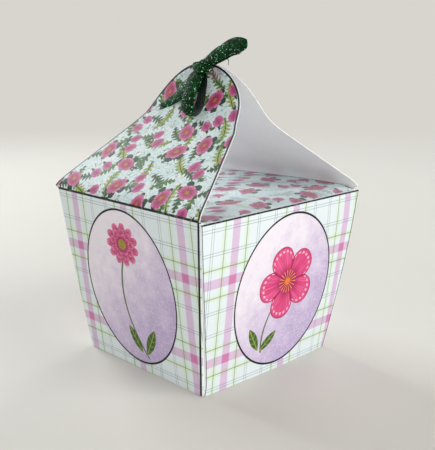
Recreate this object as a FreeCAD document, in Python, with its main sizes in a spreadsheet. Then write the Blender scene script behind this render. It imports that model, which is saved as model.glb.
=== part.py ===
import FreeCAD, Part
import math
import os
import Sketcher

# Favor box folded from one cross-shaped blank of card, closed by a ribbon.
# Frame: millimetres, +Z up, origin in the middle of the base on the table.
# The wall under the first tall flap faces -Y, the wall that carries the lid faces +X.

SIZES = {
    "card": 0.3,               # thickness of the card
    "base_side": 60,           # square base
    "top_side": 74,            # square mouth, so each wall leans outwards
    "box_height": 59,          # table to the fold lines of the mouth
    "tab_width": 9,            # glue tabs inside the walls
    "tab_margin": 2,           # the tabs stop this short of base and mouth
    "lid_reach": 69,           # lid, from its fold to its free end
    "lid_clearance": 0.8,      # lid's sides to the fold lines of the tall flaps
    "lid_corner": 4,           # rounded corners of the free end
    "dust_reach": 33,          # short flap under the lid
    "dust_taper": 9,           # each side of that flap runs in by this much
    "fold_sunk": 0.3,          # a tall flap is rooted this far down in its wall
    "fold_radius": 9,          # tall flap: outward bow just above its fold
    "flat_length": 25,         # tall flap: straight stretch
    "flat_angle": 37,          # its slope above the horizontal
    "head_bend": 34,           # tall flap: hollow bend up to the tip
    "flap_rise": 43.1,         # tip above the fold line
    "tip_gap": 0.5,            # outer face of a tip to the box's middle plane
    "head_radius": 22.8,       # round head, seen square on from the front
    "flap_inset": 0.1,         # flap's corners to the box's corners
    "trim_margin": 10,         # the waste that is cut away reaches this far beyond the flap
    "hole_radius": 2.5,        # punched hole for the ribbon
    "hole_rise": 36,           # its centre above the fold line
    "ribbon_width": 6,
    "ribbon_pinch": 4,         # width where it passes through the holes
    "ribbon_layer": 0.7,       # thickness of a stand-in layer of ribbon
    "tie_half_depth": 2.7,     # the turn round the two tips, out from the middle plane
    "tie_over": 1.2,           # its top above the tips
    "knot_side": 1.6,          # knot's centre to the right of the holes
    "knot_out": 3.7,           # and in front of the middle plane
    "knot_rise": 41,           # and above the fold line
    "knot_half_width": 4.6,
    "knot_half_depth": 2.3,
    "knot_half_height": 3,
    "loop_slope": 23,          # upper loop: its slope above the horizontal
    "loop_length": 19.8,       # from the knot's centre to the centre of its round end
    "loop_end": 1.9,           # radius of that end
    "drop_out": 4.6,           # hanging loop: its round end, out from the knot's centre
    "drop_down": 11.7,         # and down from it
    "drop_end": 2.6,           # radius of that end
    "tail_run": 17,            # free tail: sideways from the knot
    "tail_drop": 13,           # and down along the flap
    "tail_lean": 74,           # slope of the plane that it lies in
}

doc = FreeCAD.newDocument("favor_box")
sheet = doc.addObject("Spreadsheet::Sheet", "Sizes")
for row, (alias, number) in enumerate(SIZES.items(), start=1):
    sheet.set(f"A{row}", alias)
    sheet.set(f"B{row}", str(number))
    sheet.setAlias(f"B{row}", alias)
doc.recompute()


def size(alias):
    """A driving dimension, as the spreadsheet holds it."""
    return float(sheet.get(alias))


def bind(thing, prop, formula):
    """Bind a property to a formula in the sheet's aliases, each written with a leading $."""
    thing.setExpression(prop, formula.replace("$", "Sizes."))


def new_body(name):
    body = doc.addObject("PartDesign::Body", name)
    body.Label = name
    return body


def origin_part(body, role):
    return next(part for part in body.Origin.OriginFeatures if part.Role == role)


def new_sketch(body, name, role, lift=None, turn=None):
    """Sketch on one of the body's origin planes, lifted along its normal and turned."""
    sketch = body.newObject("Sketcher::SketchObject", name)
    sketch.AttachmentSupport = [(origin_part(body, role), "")]
    sketch.MapMode = "FlatFace"
    if turn is not None:
        sketch.AttachmentOffset = turn
    if lift is not None:
        bind(sketch, "AttachmentOffset.Base.z", lift)
    return sketch


def point(x, y):
    return FreeCAD.Vector(x, y, 0)


def value(sketch, formula):
    """What a formula in the sheet's aliases comes to."""
    found = sketch.evalExpression(formula.replace("$", "Sizes."))
    return float(getattr(found, "Value", found))


def join(sketch, kind, ids):
    """Tie each line or arc's end to the next one's start, all the way round."""
    for here, following in zip(ids, ids[1:] + ids[:1]):
        sketch.addConstraint(Sketcher.Constraint(kind, here, 2, following, 1))


def add_all(sketch, pieces):
    return [sketch.addGeometry(piece, False) for piece in pieces]


def polygon(sketch, corners):
    """Closed outline of straight lines; returns the lines' numbers."""
    ends = corners[1:] + corners[:1]
    lines = [Part.LineSegment(point(*start), point(*end)) for start, end in zip(corners, ends)]
    ids = add_all(sketch, lines)
    join(sketch, "Coincident", ids)
    return ids


def measure(sketch, label, formula, *words):
    """Add a named dimension that follows a formula."""
    number = sketch.addConstraint(Sketcher.Constraint(*words, value(sketch, formula)))
    sketch.renameConstraint(number, label)
    bind(sketch, f"Constraints.{label}", formula)


def place_end(sketch, line, end, name, x_formula, y_formula):
    """Fix an end of a line, or an arc's centre, at a place worked out from the sheet."""
    measure(sketch, f"{name}_x", x_formula, "DistanceX", -1, 1, line, end)
    measure(sketch, f"{name}_y", y_formula, "DistanceY", -1, 1, line, end)


def formula_polygon(sketch, corners, prefix="corner"):
    """Closed outline of straight lines whose corners are given as formulas."""
    lines = polygon(sketch, [tuple(value(sketch, formula) for formula in corner) for corner in corners])
    for number, (line, corner) in enumerate(zip(lines, corners)):
        place_end(sketch, line, 1, f"{prefix}{number}", *corner)


def centred_square(body, name, side, lift):
    """Square about the Z axis at a height."""
    half = f"({side})/2"
    return corner_block(body, name, lift, [
        (f"-{half}", f"-{half}"), (half, f"-{half}"), (half, half), (f"-{half}", half),
    ])


def corner_block(body, name, lift, corners):
    """Straight-sided outline at a height, its corners given as formulas."""
    sketch = new_sketch(body, name, "XY_Plane", lift)
    formula_polygon(sketch, corners)
    return sketch


def add_pad(body, name, sketch, length, both_sides=False):
    pad = body.newObject("PartDesign::Pad", name)
    pad.Profile = sketch
    bind(pad, "Length", length)
    pad.Midplane = both_sides
    return pad


def cut_through(body, name, sketch):
    """Cut a sketch on the XZ plane through both tall flaps."""
    pocket = body.newObject("PartDesign::Pocket", name)
    pocket.Profile = sketch
    pocket.Midplane = True
    bind(pocket, "Length", "2*$top_side")
    return pocket


# ---------------------------------------------------------------- folded card

HALF_OUT = "(($base_side+($top_side-$base_side)*{h}/$box_height)/2)"


def add_walls(body):
    """Base and four leaning walls as one thin tray."""
    outer = body.newObject("PartDesign::AdditiveLoft", "outside")
    outer.Profile = centred_square(body, "outside_base", "$base_side", "0 mm")
    outer.Sections = [centred_square(body, "outside_mouth", "$top_side", "$box_height * 1 mm")]
    outer.Ruled = True
    doc.recompute()
    floor = "(2*" + HALF_OUT.format(h="$card") + "-2*$card)"
    inner = body.newObject("PartDesign::SubtractiveLoft", "inside")
    inner.Profile = centred_square(body, "inside_base", floor, "$card * 1 mm")
    inner.Sections = [
        centred_square(body, "inside_mouth", "$top_side-2*$card", "$box_height * 1 mm")
    ]
    inner.Ruled = True
    doc.recompute()
    return inner


def tab_section(body, name, height, hand):
    """Section of a glue tab that lies on the inner face of the lid's wall."""
    face = "(" + HALF_OUT.format(h=height) + "-$card)"
    deep = f"({face}-$card)"
    sunk = f"({face}+$card/2)"
    return corner_block(body, name, f"{height} * 1 mm", [
        (deep, f"{hand}({face}-$tab_width)"),
        (deep, f"{hand}{sunk}"),
        (sunk, f"{hand}{sunk}"),
        (sunk, f"{hand}({face}-$tab_width)"),
    ])


def add_glue_tabs(body):
    """Four glue tabs: the walls of the tall flaps have one on each side, inside the other walls."""
    tabs = []
    for side, hand in (("left", "-"), ("right", "")):
        tab = body.newObject("PartDesign::AdditiveLoft", f"{side}_tab")
        tab.Profile = tab_section(body, f"{side}_tab_low", "$tab_margin", hand)
        tab.Sections = [
            tab_section(body, f"{side}_tab_high", "($box_height-$tab_margin)", hand)
        ]
        tab.Ruled = True
        doc.recompute()
        tabs.append(tab)
    around = body.newObject("PartDesign::PolarPattern", "glue_tabs")
    around.Originals = tabs
    around.Axis = (origin_part(body, "Z_Axis"), [""])
    around.Angle = 360
    around.Occurrences = 2
    body.Tip = around
    doc.recompute()


def add_lid(body):
    """Lid that folds in from the +X wall and lies between the tall flaps."""
    start = "($top_side/2-$card/2)"
    end = f"({start}-$lid_reach)"
    side = "($top_side/2-$lid_clearance)"
    sketch = corner_block(body, "lid_outline", "($box_height-$card) * 1 mm", [
        (start, f"-{side}"),
        (start, side),
        (f"({end}+$lid_corner)", side),
        (end, f"({side}-$lid_corner)"),
        (end, f"-({side}-$lid_corner)"),
        (f"({end}+$lid_corner)", f"-{side}"),
    ])
    add_pad(body, "lid", sketch, "$card")
    doc.recompute()


def add_dust_flap(body):
    """Short flap from the -X wall, one card's thickness below the lid."""
    start = "($top_side/2-$card)"
    side = "($top_side/2-2*$lid_clearance)"
    end = f"({start}-$dust_reach)"
    sketch = corner_block(body, "dust_outline", "($box_height-3*$card) * 1 mm", [
        (f"-{start}", side),
        (f"-{start}", f"-{side}"),
        (f"-{end}", f"-({side}-$dust_taper)"),
        (f"-{end}", f"({side}-$dust_taper)"),
    ])
    add_pad(body, "dust_flap", sketch, "$card")
    doc.recompute()


def arc_between(centre, radius, start, end):
    """Arc from one angle to another in degrees, anticlockwise."""
    circle = Part.Circle(point(*centre), FreeCAD.Vector(0, 0, 1), radius)
    return Part.ArcOfCircle(circle, math.radians(start), math.radians(end))


def fold_and_tip_angles(foot, tip):
    """Slopes of the tall flap at its foot and its tip, which make it reach from one to the other."""
    bow, bend = size("fold_radius"), size("head_bend")
    flat, length = math.radians(size("flat_angle")), size("flat_length")
    reach, rise = tip[0] - foot[0], tip[1] - foot[1]
    # Each arc adds radius * (change of sine and cosine) to the path.
    east = reach + bow * math.sin(flat) + bend * math.sin(flat) - length * math.cos(flat)
    north = rise - bow * math.cos(flat) - bend * math.cos(flat) - length * math.sin(flat)
    # Now bow*sin(a) + bend*sin(b) = east and -bow*cos(a) - bend*cos(b) = north.
    span = math.hypot(east, north)
    heading = math.atan2(east, -north)
    apart = math.acos((bow**2 + span**2 - bend**2) / (2 * bow * span))
    fold = heading - apart
    tip = math.atan2(east - bow * math.sin(fold), -north - bow * math.cos(fold))
    return math.degrees(fold), math.degrees(tip)


def flap_profile(body):
    """Side view of a tall flap: bowed at the fold, straight, then bent up to the tip."""
    sketch = new_sketch(body, "flap_profile", "YZ_Plane")
    foot_height = "($box_height-$fold_sunk)"
    foot_place = ("-" + HALF_OUT.format(h=foot_height), foot_height)
    tip_place = ("-$tip_gap", "$box_height+$flap_rise")
    foot = tuple(value(sketch, formula) for formula in foot_place)
    fold, tip = fold_and_tip_angles(foot, [value(sketch, formula) for formula in tip_place])
    flat = size("flat_angle")
    card, bow, bend = size("card"), size("fold_radius"), size("head_bend")

    def step(origin, slope, far):
        return (
            origin[0] + far * math.cos(math.radians(slope)),
            origin[1] + far * math.sin(math.radians(slope)),
        )

    bow_centre = step(foot, fold - 90, bow)
    joint = step(bow_centre, flat + 90, bow)
    rise = step(joint, flat, size("flat_length"))
    bend_centre = step(rise, flat + 90, bend)

    def side(depth):
        """Bow, straight and bend of the face that lies this deep under the outer one."""
        first = step(joint, flat - 90, depth)
        last = step(rise, flat - 90, depth)
        return add_all(sketch, [
            arc_between(bow_centre, bow - depth, flat + 90, fold + 90),
            Part.LineSegment(point(*first), point(*last)),
            arc_between(bend_centre, bend + depth, flat - 90, tip - 90),
        ])

    outer = side(0)
    inner = side(card)
    foot_in = step(foot, fold - 90, card)
    tip_out = step(bend_centre, tip - 90, bend)
    tip_in = step(bend_centre, tip - 90, bend + card)
    ends = add_all(sketch, [
        Part.LineSegment(point(*foot), point(*foot_in)),
        Part.LineSegment(point(*tip_out), point(*tip_in)),
    ])

    def constrain(*words):
        sketch.addConstraint(Sketcher.Constraint(*words))

    for bow_arc, straight, bend_arc in (outer, inner):
        constrain("Tangent", bow_arc, 1, straight, 1)
        constrain("Tangent", straight, 2, bend_arc, 1)
    for arc, end in ((0, ends[0]), (2, ends[1])):
        constrain("Coincident", outer[arc], 3, inner[arc], 3)
        constrain("Coincident", outer[arc], 2, end, 1)
        constrain("Coincident", inner[arc], 2, end, 2)
        constrain("PointOnObject", outer[arc], 3, end)
    measure(sketch, "bow", "$fold_radius", "Radius", outer[0])
    measure(sketch, "bow_in", "$fold_radius-$card", "Radius", inner[0])
    measure(sketch, "bend", "$head_bend", "Radius", outer[2])
    measure(sketch, "bend_in", "$head_bend+$card", "Radius", inner[2])
    measure(sketch, "straight", "$flat_length", "Distance", outer[1])
    place_end(sketch, ends[0], 1, "foot", *foot_place)
    place_end(sketch, ends[1], 1, "tip", *tip_place)
    slope = sketch.addConstraint(Sketcher.Constraint("Angle", outer[1], math.radians(flat)))
    sketch.renameConstraint(slope, "slope")
    bind(sketch, "Constraints.slope", "$flat_angle * 1 deg")
    return sketch


def flap_outline(body):
    """Everything outside the flaps' outline, seen square on from the front."""
    sketch = new_sketch(body, "flap_outline", "XZ_Plane")
    inset = "($top_side/2-$flap_inset)"
    outside = f"({inset}+$trim_margin)"
    top = "($box_height+$flap_rise+$trim_margin)"
    formulas = [
        (inset, "$box_height"), (outside, "$box_height"), (outside, top),
        (f"-{outside}", top), (f"-{outside}", "$box_height"), (f"-{inset}", "$box_height"),
    ]
    corners = [tuple(value(sketch, formula) for formula in corner) for corner in formulas]
    half, level = corners[0]
    radius = size("head_radius")
    centre_formula = "$box_height+$flap_rise-$head_radius"
    centre_up = value(sketch, centre_formula)
    # The straight side leaves the flap's corner and meets the round head as its tangent.
    far = math.hypot(half, level - centre_up)
    touch = math.atan2(level - centre_up, half) + math.acos(radius / far)
    meet = (radius * math.cos(touch), centre_up + radius * math.sin(touch))
    meet_left = (-meet[0], meet[1])
    lines = [Part.LineSegment(point(*start), point(*end))
             for start, end in zip(corners, corners[1:] + [meet_left])]
    lines.append(arc_between((0, centre_up), radius, math.degrees(touch), 180 - math.degrees(touch)))
    lines.append(Part.LineSegment(point(*meet), point(*corners[0])))
    ids = add_all(sketch, lines)
    side_left, head, side_right = ids[5:]
    for here, following in zip(ids[:5], ids[1:6]):
        sketch.addConstraint(Sketcher.Constraint("Coincident", here, 2, following, 1))
    sketch.addConstraint(Sketcher.Constraint("Coincident", side_right, 2, ids[0], 1))
    sketch.addConstraint(Sketcher.Constraint("Tangent", side_left, 2, head, 2))
    sketch.addConstraint(Sketcher.Constraint("Tangent", head, 1, side_right, 1))
    for number, (line, corner) in enumerate(zip(ids, formulas)):
        place_end(sketch, line, 1, f"corner{number}", *corner)
    sketch.addConstraint(Sketcher.Constraint("PointOnObject", head, 3, -2))
    measure(sketch, "head", "$head_radius", "Radius", head)
    measure(sketch, "head_up", centre_formula, "DistanceY", -1, 1, head, 3)
    return sketch


def circle_sketch(body, name, radius, height):
    """Circle on the XZ plane, on the middle line at a height."""
    sketch = new_sketch(body, name, "XZ_Plane")
    circle = Part.Circle(point(0, value(sketch, height)), FreeCAD.Vector(0, 0, 1),
                         value(sketch, radius))
    ring = sketch.addGeometry(circle, False)
    sketch.addConstraint(Sketcher.Constraint("PointOnObject", ring, 3, -2))
    measure(sketch, "round", radius, "Radius", ring)
    measure(sketch, "up", height, "DistanceY", -1, 1, ring, 3)
    return sketch


def add_tall_flaps(body):
    """Two tall flaps that lean together over the lid, each with a punched hole."""
    strip = add_pad(body, "flap_strip", flap_profile(body), "$top_side", both_sides=True)
    doc.recompute()
    pair = body.newObject("PartDesign::Mirrored", "both_flaps")
    pair.Originals = [strip]
    pair.MirrorPlane = (origin_part(body, "XZ_Plane"), [""])
    body.Tip = pair
    doc.recompute()
    cut_through(body, "flap_edges", flap_outline(body))
    doc.recompute()
    hole = circle_sketch(body, "hole_outline", "$hole_radius", "$box_height+$hole_rise")
    cut_through(body, "ribbon_holes", hole)
    doc.recompute()


def make_card():
    body = new_body("folded_card")
    add_walls(body)
    add_glue_tabs(body)
    add_lid(body)
    add_dust_flap(body)
    add_tall_flaps(body)
    return body


# --------------------------------------------------------------------- ribbon

def slot_ring(sketch, near, near_radius, far, far_radius, layer):
    """Band round two circles of different size: a flattened loop of ribbon, seen edge on.

    near and far are (x, y) formulas, the radii and the layer's thickness formulas too.
    """
    a = tuple(value(sketch, formula) for formula in near)
    b = tuple(value(sketch, formula) for formula in far)
    axis = math.degrees(math.atan2(b[1] - a[1], b[0] - a[0]))
    apart = math.hypot(b[0] - a[0], b[1] - a[1])

    def on(centre, radius, angle):
        turn = math.radians(axis + angle)
        return point(centre[0] + radius * math.cos(turn), centre[1] + radius * math.sin(turn))

    for name, inset in (("out", "0"), ("in", layer)):
        near_formula, far_formula = f"{near_radius}-({inset})", f"{far_radius}-({inset})"
        ra, rb = value(sketch, near_formula), value(sketch, far_formula)
        lean = math.degrees(math.acos((ra - rb) / apart))
        ids = add_all(sketch, [
            arc_between(b, rb, axis - lean, axis + lean),
            Part.LineSegment(on(b, rb, lean), on(a, ra, lean)),
            arc_between(a, ra, axis + lean, axis + 360 - lean),
            Part.LineSegment(on(a, ra, -lean), on(b, rb, -lean)),
        ])
        join(sketch, "Tangent", ids)
        far_arc, near_arc = ids[0], ids[2]
        measure(sketch, f"{name}_far", far_formula, "Radius", far_arc)
        measure(sketch, f"{name}_near", near_formula, "Radius", near_arc)
        place_end(sketch, far_arc, 3, f"{name}_far", *far)
        place_end(sketch, near_arc, 3, f"{name}_near", *near)


def add_tie(body):
    """Turn of ribbon through both holes and back over the tips."""
    sketch = new_sketch(body, "tie_profile", "YZ_Plane")
    top = "($box_height+$flap_rise+$tie_over)"
    low = "($box_height+$hole_rise-$ribbon_layer/2)"
    for name, inset in (("out", "0"), ("in", "$ribbon_layer")):
        across = f"($tie_half_depth-{inset})"
        formula_polygon(sketch, [
            (f"-{across}", f"{low}+{inset}"), (across, f"{low}+{inset}"),
            (across, f"{top}-{inset}"), (f"-{across}", f"{top}-{inset}"),
        ], name)
    add_pad(body, "tie", sketch, "$ribbon_pinch", both_sides=True)
    doc.recompute()


def at_knot(thing, *axes):
    """Bring axes of a thing's attachment to the knot's centre: (axis, formula) pairs."""
    for axis, formula in axes:
        bind(thing, f"AttachmentOffset.Base.{axis}", f"{formula} * 1 mm")


def add_knot(body):
    knot = body.newObject("PartDesign::AdditiveEllipsoid", "knot")
    bind(knot, "Radius1", "$knot_half_height")
    bind(knot, "Radius2", "$knot_half_width")
    bind(knot, "Radius3", "$knot_half_depth")
    knot.AttachmentSupport = [(origin_part(body, "XY_Plane"), "")]
    knot.MapMode = "FlatFace"
    at_knot(knot, ("x", "$knot_side"), ("y", "-$knot_out"), ("z", "($box_height+$knot_rise)"))
    doc.recompute()


def add_hanging_loop(body):
    """Loop that hangs from the knot over the front flap."""
    sketch = new_sketch(body, "hanging_loop_profile", "YZ_Plane", "$knot_side * 1 mm")
    knot = ("-$knot_out", "($box_height+$knot_rise)")
    end = ("-$knot_out-$drop_out", "($box_height+$knot_rise-$drop_down)")
    slot_ring(sketch, knot, "(1.5*$ribbon_layer)", end, "$drop_end", "$ribbon_layer")
    add_pad(body, "hanging_loop", sketch, "$ribbon_width", both_sides=True)
    doc.recompute()


def turned_about(axis, degrees):
    return FreeCAD.Placement(FreeCAD.Vector(), FreeCAD.Rotation(FreeCAD.Vector(*axis), degrees))


def add_upper_loop(body):
    """Flattened loop that stands out beside the knot, its broad side to the front."""
    turn = turned_about((0, 1, 0), -size("loop_slope"))
    sketch = new_sketch(body, "upper_loop_profile", "XY_Plane", turn=turn)
    at_knot(sketch, ("x", "$knot_side"), ("y", "-$knot_out"), ("z", "($box_height+$knot_rise)"))
    end = ("$loop_length", "0")
    slot_ring(sketch, ("0", "0"), "(1.5*$ribbon_layer)", end, "$loop_end", "$ribbon_layer")
    add_pad(body, "upper_loop", sketch, "$ribbon_width", both_sides=True)
    doc.recompute()


def add_tail(body):
    """Free tail that lies down over the front flap, to the side."""
    turn = turned_about((1, 0, 0), size("tail_lean") - 90)
    sketch = new_sketch(body, "tail_outline", "XZ_Plane", turn=turn)
    at_knot(sketch, ("x", "$knot_side"), ("y", "($box_height+$knot_rise)"), ("z", "$knot_out"))
    length = "sqrt($tail_run^2+$tail_drop^2)"
    side = (f"($tail_drop/{length}*$ribbon_width/2)", f"($tail_run/{length}*$ribbon_width/2)")
    formula_polygon(sketch, [
        (f"-{side[0]}", side[1]),
        (f"-$tail_run-{side[0]}", f"-$tail_drop+{side[1]}"),
        (f"-$tail_run+{side[0]}", f"-$tail_drop-{side[1]}"),
        (side[0], f"-{side[1]}"),
    ])
    add_pad(body, "tail", sketch, "$ribbon_layer", both_sides=True)
    doc.recompute()


def make_ribbon():
    body = new_body("ribbon")
    add_tie(body)
    add_knot(body)
    add_hanging_loop(body)
    add_upper_loop(body)
    add_tail(body)
    return body


def check_document():
    for thing in doc.Objects:
        bad = [word for word in thing.State if word in ("Invalid", "Error")]
        if bad:
            raise RuntimeError(f"{thing.Label}: {bad}")


def check_shape(body):
    shape = body.Shape
    if shape.isNull() or not shape.isValid() or len(shape.Solids) != 1:
        raise RuntimeError(f"{body.Label}: {len(shape.Solids)} solids, valid {shape.isValid()}")
    box = shape.BoundBox
    print(f"{body.Label}: {shape.Volume:.0f} mm3, x {box.XMin:.1f}..{box.XMax:.1f}, "
          f"y {box.YMin:.1f}..{box.YMax:.1f}, z {box.ZMin:.1f}..{box.ZMax:.1f}")


parts = [make_card(), make_ribbon()]
doc.recompute()
check_document()
for part in parts:
    part.Placement = FreeCAD.Placement()
    check_shape(part)

os.makedirs("parts", exist_ok=True)
for part in parts:
    part.Shape.exportStep(f"parts/{part.Label}.step")
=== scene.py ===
import bmesh
import bpy
import math
import random
from collections import namedtuple
from contextlib import contextmanager
from mathutils import Matrix, Quaternion, Vector


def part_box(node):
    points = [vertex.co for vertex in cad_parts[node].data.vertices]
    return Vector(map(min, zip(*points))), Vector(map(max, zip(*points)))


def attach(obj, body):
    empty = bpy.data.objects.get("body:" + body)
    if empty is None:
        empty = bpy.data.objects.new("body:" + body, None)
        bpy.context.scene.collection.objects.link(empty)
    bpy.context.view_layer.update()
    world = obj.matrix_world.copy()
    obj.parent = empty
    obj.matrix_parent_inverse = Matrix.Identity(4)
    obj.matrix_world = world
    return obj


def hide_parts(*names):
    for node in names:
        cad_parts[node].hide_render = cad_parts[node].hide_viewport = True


# Favor box folded from one blank of printed card, tied shut with a glitter ribbon.
# Frame: origin in the middle of the base, +Z up, metres. Lengths below are in millimetres and
# turn into metres when a mesh is made.
# Walls 0 to 3 face -Y, +X, +Y and -X. The tall flaps are folded from walls 0 and 2, the lid from
# wall 1, and the dust flap under it from wall 3.

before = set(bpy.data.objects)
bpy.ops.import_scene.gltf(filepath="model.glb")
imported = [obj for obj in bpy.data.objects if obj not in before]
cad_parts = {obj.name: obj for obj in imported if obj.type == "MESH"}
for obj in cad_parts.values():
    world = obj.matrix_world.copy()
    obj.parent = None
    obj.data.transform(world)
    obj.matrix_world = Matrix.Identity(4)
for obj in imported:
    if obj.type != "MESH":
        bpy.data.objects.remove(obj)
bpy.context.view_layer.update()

MM = 0.001
UP = Vector((0, 0, 1))


def add_object(name, content):
    made = bpy.data.objects.new(name, content)
    bpy.context.collection.objects.link(made)
    return made


# ---------------------------------------------------------------------- camera

CAMERA_AZIMUTH, CAMERA_ELEVATION, CAMERA_ROLL = 46.03, 13.784, -0.137   # degrees
CAMERA_AIM_RIGHT, CAMERA_AIM_UP = 3.85, 45.81
CAMERA_DISTANCE, CAMERA_LENS = 283.94, 64.18


def turned_about(axis, degrees):
    return Matrix.Rotation(math.radians(degrees), 4, axis)


def add_camera():
    turn = turned_about("Z", CAMERA_AZIMUTH) @ turned_about("X", 90 - CAMERA_ELEVATION)
    place = turn @ Vector((CAMERA_AIM_RIGHT, 0, CAMERA_DISTANCE)) + UP * CAMERA_AIM_UP
    camera = add_object("camera", bpy.data.cameras.new("camera"))
    camera.data.lens = CAMERA_LENS
    camera.data.clip_start = 0.01
    camera.matrix_world = Matrix.Translation(place * MM) @ turn @ turned_about("Z", CAMERA_ROLL)
    bpy.context.scene.camera = camera


add_camera()


# -------------------------------------------------------- arithmetic in materials

SOFT = 0.05   # half the width over which a printed edge fades
BLUR = 0.3    # the same for a blurred one


def linear(red, green, blue):
    """Colour given as 0..255 values of a screen, as Blender wants it."""
    def channel(value):
        value /= 255
        return value / 12.92 if value <= 0.04045 else ((value + 0.055) / 1.055) ** 2.4
    return (channel(red), channel(green), channel(blue), 1)


def feed(socket, value):
    """Link a Flow to a socket, or set the socket to a plain value."""
    if isinstance(value, Flow):
        socket.id_data.links.new(value.socket, socket)
    else:
        socket.default_value = value


def add_node(tree, kind, inputs=(), **settings):
    node = tree.nodes.new("ShaderNode" + kind)
    for name, value in settings.items():
        setattr(node, name, value)
    for name, value in dict(inputs).items():
        feed(node.inputs[name], value)
    return node


def flow(kind, inputs, output=0, **settings):
    """One output of a new node, in the material that its inputs come from."""
    inputs = dict(inputs)
    tree = next(value.socket.id_data for value in inputs.values() if isinstance(value, Flow))
    return Flow(add_node(tree, kind, inputs, **settings).outputs[output])


def operation(kind):
    """Method that puts a Flow, and any other numbers, through a Math node."""
    return lambda *values: flow("Math", enumerate(values), operation=kind)


class Flow:
    """A number, vector or colour flowing through a material; arithmetic on it adds nodes."""

    def __init__(self, socket):
        self.socket = socket

    __add__ = operation("ADD")
    __sub__ = operation("SUBTRACT")
    __mul__ = operation("MULTIPLY")
    __truediv__ = operation("DIVIDE")
    __abs__ = operation("ABSOLUTE")
    floor = operation("FLOOR")
    fraction = operation("FRACT")
    power = operation("POWER")
    root = operation("SQRT")
    cosine = operation("COSINE")
    sine = operation("SINE")
    angle_to = operation("ARCTAN2")
    least = operation("MINIMUM")
    most = operation("MAXIMUM")

    def __rsub__(self, number):
        return self * -1 + number

    def rise(self, low, high, before=0, after=1):
        """before where the number is below low, after above high, smooth between."""
        names = ("Value", "From Min", "From Max", "To Min", "To Max")
        return flow("MapRange", zip(names, (self, low, high, before, after)), "Result",
                    interpolation_type="SMOOTHSTEP")

    def fall(self, low, high):
        """1 where the number is below low, 0 above high, smooth between."""
        return self.rise(low, high, 1, 0)

    def inside(self, soft=SOFT):
        """1 where the number is below zero, with an edge this soft."""
        return self.fall(-soft, soft)


class Paint:
    """A procedural material in the making."""

    def __init__(self, name):
        self.material = bpy.data.materials.new(name)
        self.material.use_nodes = True
        self.tree = self.material.node_tree
        self.shader = self.tree.nodes["Principled BSDF"]

    def uv(self, name):
        """The two coordinates of a UV map."""
        return split("XYZ", Flow(add_node(self.tree, "UVMap", uv_map=name).outputs[0]))[:2]

    def place(self):
        """The point's place in the object, in metres."""
        return Flow(add_node(self.tree, "TexCoord").outputs["Object"])

    def finish(self, **inputs):
        for name, value in inputs.items():
            feed(self.shader.inputs[name.replace("_", " ")], value)
        return self.material


def split(kind, whole):
    """The three numbers of a vector (kind XYZ) or of a colour (kind Color)."""
    node = add_node(whole.socket.id_data, "Separate" + kind, {0: whole})
    return [Flow(socket) for socket in node.outputs]


def vector(x, y, z=0.0):
    return flow("CombineXYZ", {0: x, 1: y, 2: z})


def vector_maths(kind, *values):
    return flow("VectorMath", enumerate(values), operation=kind)


def noise(place, scale, detail=2.0, roughness=0.5):
    return flow("TexNoise", {"Vector": place, "Scale": scale, "Detail": detail, "Roughness": roughness})


def cells(place, scale, output="Distance"):
    """Voronoi cells: distance to the nearest point, or the cell's random colour."""
    return flow("TexVoronoi", {"Vector": place, "Scale": scale}, output)


def chances(place):
    """Three random numbers that stay the same wherever the place does."""
    return split("Color", flow("TexWhiteNoise", {"Vector": place}, "Color", noise_dimensions="3D"))


def mix(share, under, over, blend="MIX"):
    return flow("Mix", {"Factor": share, "A": under, "B": over}, "Result", data_type="RGBA",
                blend_type=blend)


def mixed(colour, *layers):
    """The colour with layers laid over it, each a share and a colour."""
    for share, over in layers:
        colour = mix(share, colour, over)
    return colour


def ramp(at, stops):
    filled = flow("ValToRGB", {0: at})
    elements = filled.socket.node.color_ramp.elements
    for index, (where, colour) in enumerate(stops):
        element = elements[index] if index < 2 else elements.new(where)
        element.position = where
        element.color = colour
    return filled


def bump(height, depth):
    """A normal raised by height (0..1) times a depth in metres."""
    return flow("Bump", {"Strength": 1.0, "Distance": depth, "Height": height})


def band(value, low, high, soft=SOFT):
    """1 where the value lies between low and high."""
    return value.rise(low - soft, low + soft) * value.fall(high - soft, high + soft)


def distance(x, y):
    return (x * x + y * y).root()


def turned(x, y, centre, degrees):
    """Coordinates about a centre, along axes turned anticlockwise."""
    cosine, sine = math.cos(math.radians(degrees)), math.sin(math.radians(degrees))
    x, y = x - centre[0], y - centre[1]
    return x * cosine + y * sine, y * cosine - x * sine


# ------------------------------------------------------------------ wall print

WHITE = linear(229, 238, 241)
BLACK = linear(8, 9, 14)
THIN_GREY = linear(52, 58, 62)
STEM = linear(88, 112, 70)
LEAF = linear(62, 98, 48)
LEAF_DARK = linear(24, 54, 34)
LEAF_MID = linear(92, 130, 62)
LEAF_LIGHT = linear(154, 172, 70)

NO_TINT = (1, 1, 1, 1)
BAND_TINT = (0.90, 0.63, 0.82, 1)
HALO_TINT = (0.94, 0.98, 0.83, 1)
LINE_TINT = (0.44, 0.54, 0.38, 1)
PAIR_TINT = (0.56, 0.60, 0.62, 1)
CROSS_TINT = (1.0, 0.66, 0.72, 1)

# Stripes of the plaid, from the middle of a broad band outwards: outer edge and tint.
PLAID_PERIOD = 27.2
PLAID_STRIPES = [
    (1.55, BAND_TINT), (3.7, NO_TINT), (4.55, HALO_TINT), (4.92, LINE_TINT), (5.8, HALO_TINT),
    (9.2, NO_TINT), (9.42, PAIR_TINT), (10.1, NO_TINT), (10.32, PAIR_TINT), (13.6, NO_TINT),
]

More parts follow.
